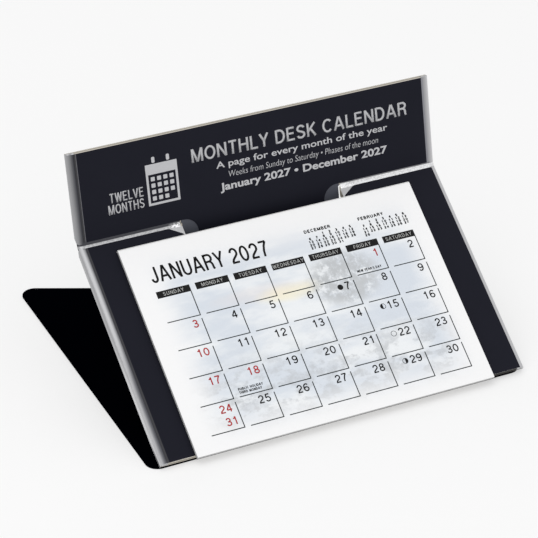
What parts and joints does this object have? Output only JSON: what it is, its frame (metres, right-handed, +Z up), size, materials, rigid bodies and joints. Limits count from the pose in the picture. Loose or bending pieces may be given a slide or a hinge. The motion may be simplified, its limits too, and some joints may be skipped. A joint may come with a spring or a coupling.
{
  "type": "flip desk calendar",
  "caption": "Folding board desk calendar: a sloping panel with a pad of monthly leaves and an upright header, propped by the header's die-cut tongue on a thin base.",
  "frame": {"origin": "centre of the base board's underside, between its front edge and the tips of its rear feet", "axes": "+Z up, front faces -Y, +X to the right seen from the front"},
  "size_m": [0.1916, 0.1722, 0.1096],
  "materials": {
    "black_board": "matt black coated board",
    "black_paper": "matt black lining paper",
    "kraft_board": "unbleached board, seen at its cut edges",
    "silver_foil": "satin silver foil paper",
    "dark_print": "smooth charcoal-blue coated paper",
    "mounting_tape": "double-sided tape",
    "grey_card": "grey chipboard",
    "padding_compound": "flexible padding compound",
    "leaf_paper": "smooth white offset paper"
  },
  "bodies": {
    "base": {"base_board": "black_board", "hinge_tape": "black_paper"},
    "panel": {"panel_board_back": "kraft_board", "panel_board_face": "kraft_board", "panel_liner": "black_paper", "panel_foil": "silver_foil", "panel_print": "dark_print", "pad_tape_left": "mounting_tape", "pad_tape_right": "mounting_tape", "pad_backing": "grey_card", "pad_binding": "padding_compound"},
    "header": {"header_board_back": "kraft_board", "header_board_face": "kraft_board", "header_liner": "black_paper", "header_foil": "silver_foil", "header_print": "dark_print", "fold_strip_left": "silver_foil", "fold_strip_right": "silver_foil"},
    "leaf_january": {"leaf_january": "leaf_paper"},
    "leaf_february": {"leaf_february": "leaf_paper"},
    "leaf_march": {"leaf_march": "leaf_paper"},
    "leaf_april": {"leaf_april": "leaf_paper"},
    "leaf_may": {"leaf_may": "leaf_paper"},
    "leaf_june": {"leaf_june": "leaf_paper"},
    "leaf_july": {"leaf_july": "leaf_paper"},
    "leaf_august": {"leaf_august": "leaf_paper"},
    "leaf_september": {"leaf_september": "leaf_paper"},
    "leaf_october": {"leaf_october": "leaf_paper"},
    "leaf_november": {"leaf_november": "leaf_paper"},
    "leaf_december": {"leaf_december": "leaf_paper"}
  },
  "joints": [
    {"name": "stand_fold", "type": "hinge", "parent": "base", "child": "panel", "pos_m": [0.00215, -0.08335, 0.00135], "axis": [1, 0, 0], "range_deg": [0, 34], "deforming": ["hinge_tape"]},
    {"name": "header_fold", "type": "hinge", "parent": "panel", "child": "header", "pos_m": [0.00215, 0.00843, 0.06595], "axis": [-1, 0, 0], "range_deg": [0, 44], "deforming": ["fold_strip_left", "fold_strip_right"]},
    {"name": "turn_january", "type": "hinge", "parent": "leaf_february", "child": "leaf_january", "pos_m": [0.00215, 0.00064, 0.06375], "axis": [-1, 0, 0], "range_deg": [0, 108]},
    {"name": "fan_february", "type": "hinge", "parent": "panel", "child": "leaf_february", "pos_m": [0.00215, 0.00072, 0.06364], "axis": [-1, 0, 0], "range_deg": [0, 30]},
    {"name": "fan_march", "type": "hinge", "parent": "panel", "child": "leaf_march", "pos_m": [0.00215, 0.00079, 0.06353], "axis": [-1, 0, 0], "range_deg": [0, 27.28]},
    {"name": "fan_april", "type": "hinge", "parent": "panel", "child": "leaf_april", "pos_m": [0.00215, 0.00086, 0.06342], "axis": [-1, 0, 0], "range_deg": [0, 24.56]},
    {"name": "fan_may", "type": "hinge", "parent": "panel", "child": "leaf_may", "pos_m": [0.00215, 0.00093, 0.06332], "axis": [-1, 0, 0], "range_deg": [0, 21.83]},
    {"name": "fan_june", "type": "hinge", "parent": "panel", "child": "leaf_june", "pos_m": [0.00215, 0.001, 0.06321], "axis": [-1, 0, 0], "range_deg": [0, 19.1]},
    {"name": "fan_july", "type": "hinge", "parent": "panel", "child": "leaf_july", "pos_m": [0.00215, 0.00108, 0.0631], "axis": [-1, 0, 0], "range_deg": [0, 16.38]},
    {"name": "fan_august", "type": "hinge", "parent": "panel", "child": "leaf_august", "pos_m": [0.00215, 0.00115, 0.06299], "axis": [-1, 0, 0], "range_deg": [0, 13.64]},
    {"name": "fan_september", "type": "hinge", "parent": "panel", "child": "leaf_september", "pos_m": [0.00215, 0.00122, 0.06288], "axis": [-1, 0, 0], "range_deg": [0, 10.92]},
    {"name": "fan_october", "type": "hinge", "parent": "panel", "child": "leaf_october", "pos_m": [0.00215, 0.00129, 0.06278], "axis": [-1, 0, 0], "range_deg": [0, 8.19]},
    {"name": "fan_november", "type": "hinge", "parent": "panel", "child": "leaf_november", "pos_m": [0.00215, 0.00136, 0.06267], "axis": [-1, 0, 0], "range_deg": [0, 5.46]},
    {"name": "fan_december", "type": "hinge", "parent": "panel", "child": "leaf_december", "pos_m": [0.00215, 0.00144, 0.06256], "axis": [-1, 0, 0], "range_deg": [0, 2.74]}
  ],
  "couplings": [
    {"joint": "fan_march", "follows": "fan_february", "ratio": 0.9091},
    {"joint": "fan_april", "follows": "fan_february", "ratio": 0.8182},
    {"joint": "fan_may", "follows": "fan_february", "ratio": 0.7273},
    {"joint": "fan_june", "follows": "fan_february", "ratio": 0.6364},
    {"joint": "fan_july", "follows": "fan_february", "ratio": 0.5455},
    {"joint": "fan_august", "follows": "fan_february", "ratio": 0.4545},
    {"joint": "fan_september", "follows": "fan_february", "ratio": 0.3636},
    {"joint": "fan_october", "follows": "fan_february", "ratio": 0.2727},
    {"joint": "fan_november", "follows": "fan_february", "ratio": 0.1818},
    {"joint": "fan_december", "follows": "fan_february", "ratio": 0.0909}
  ]
}
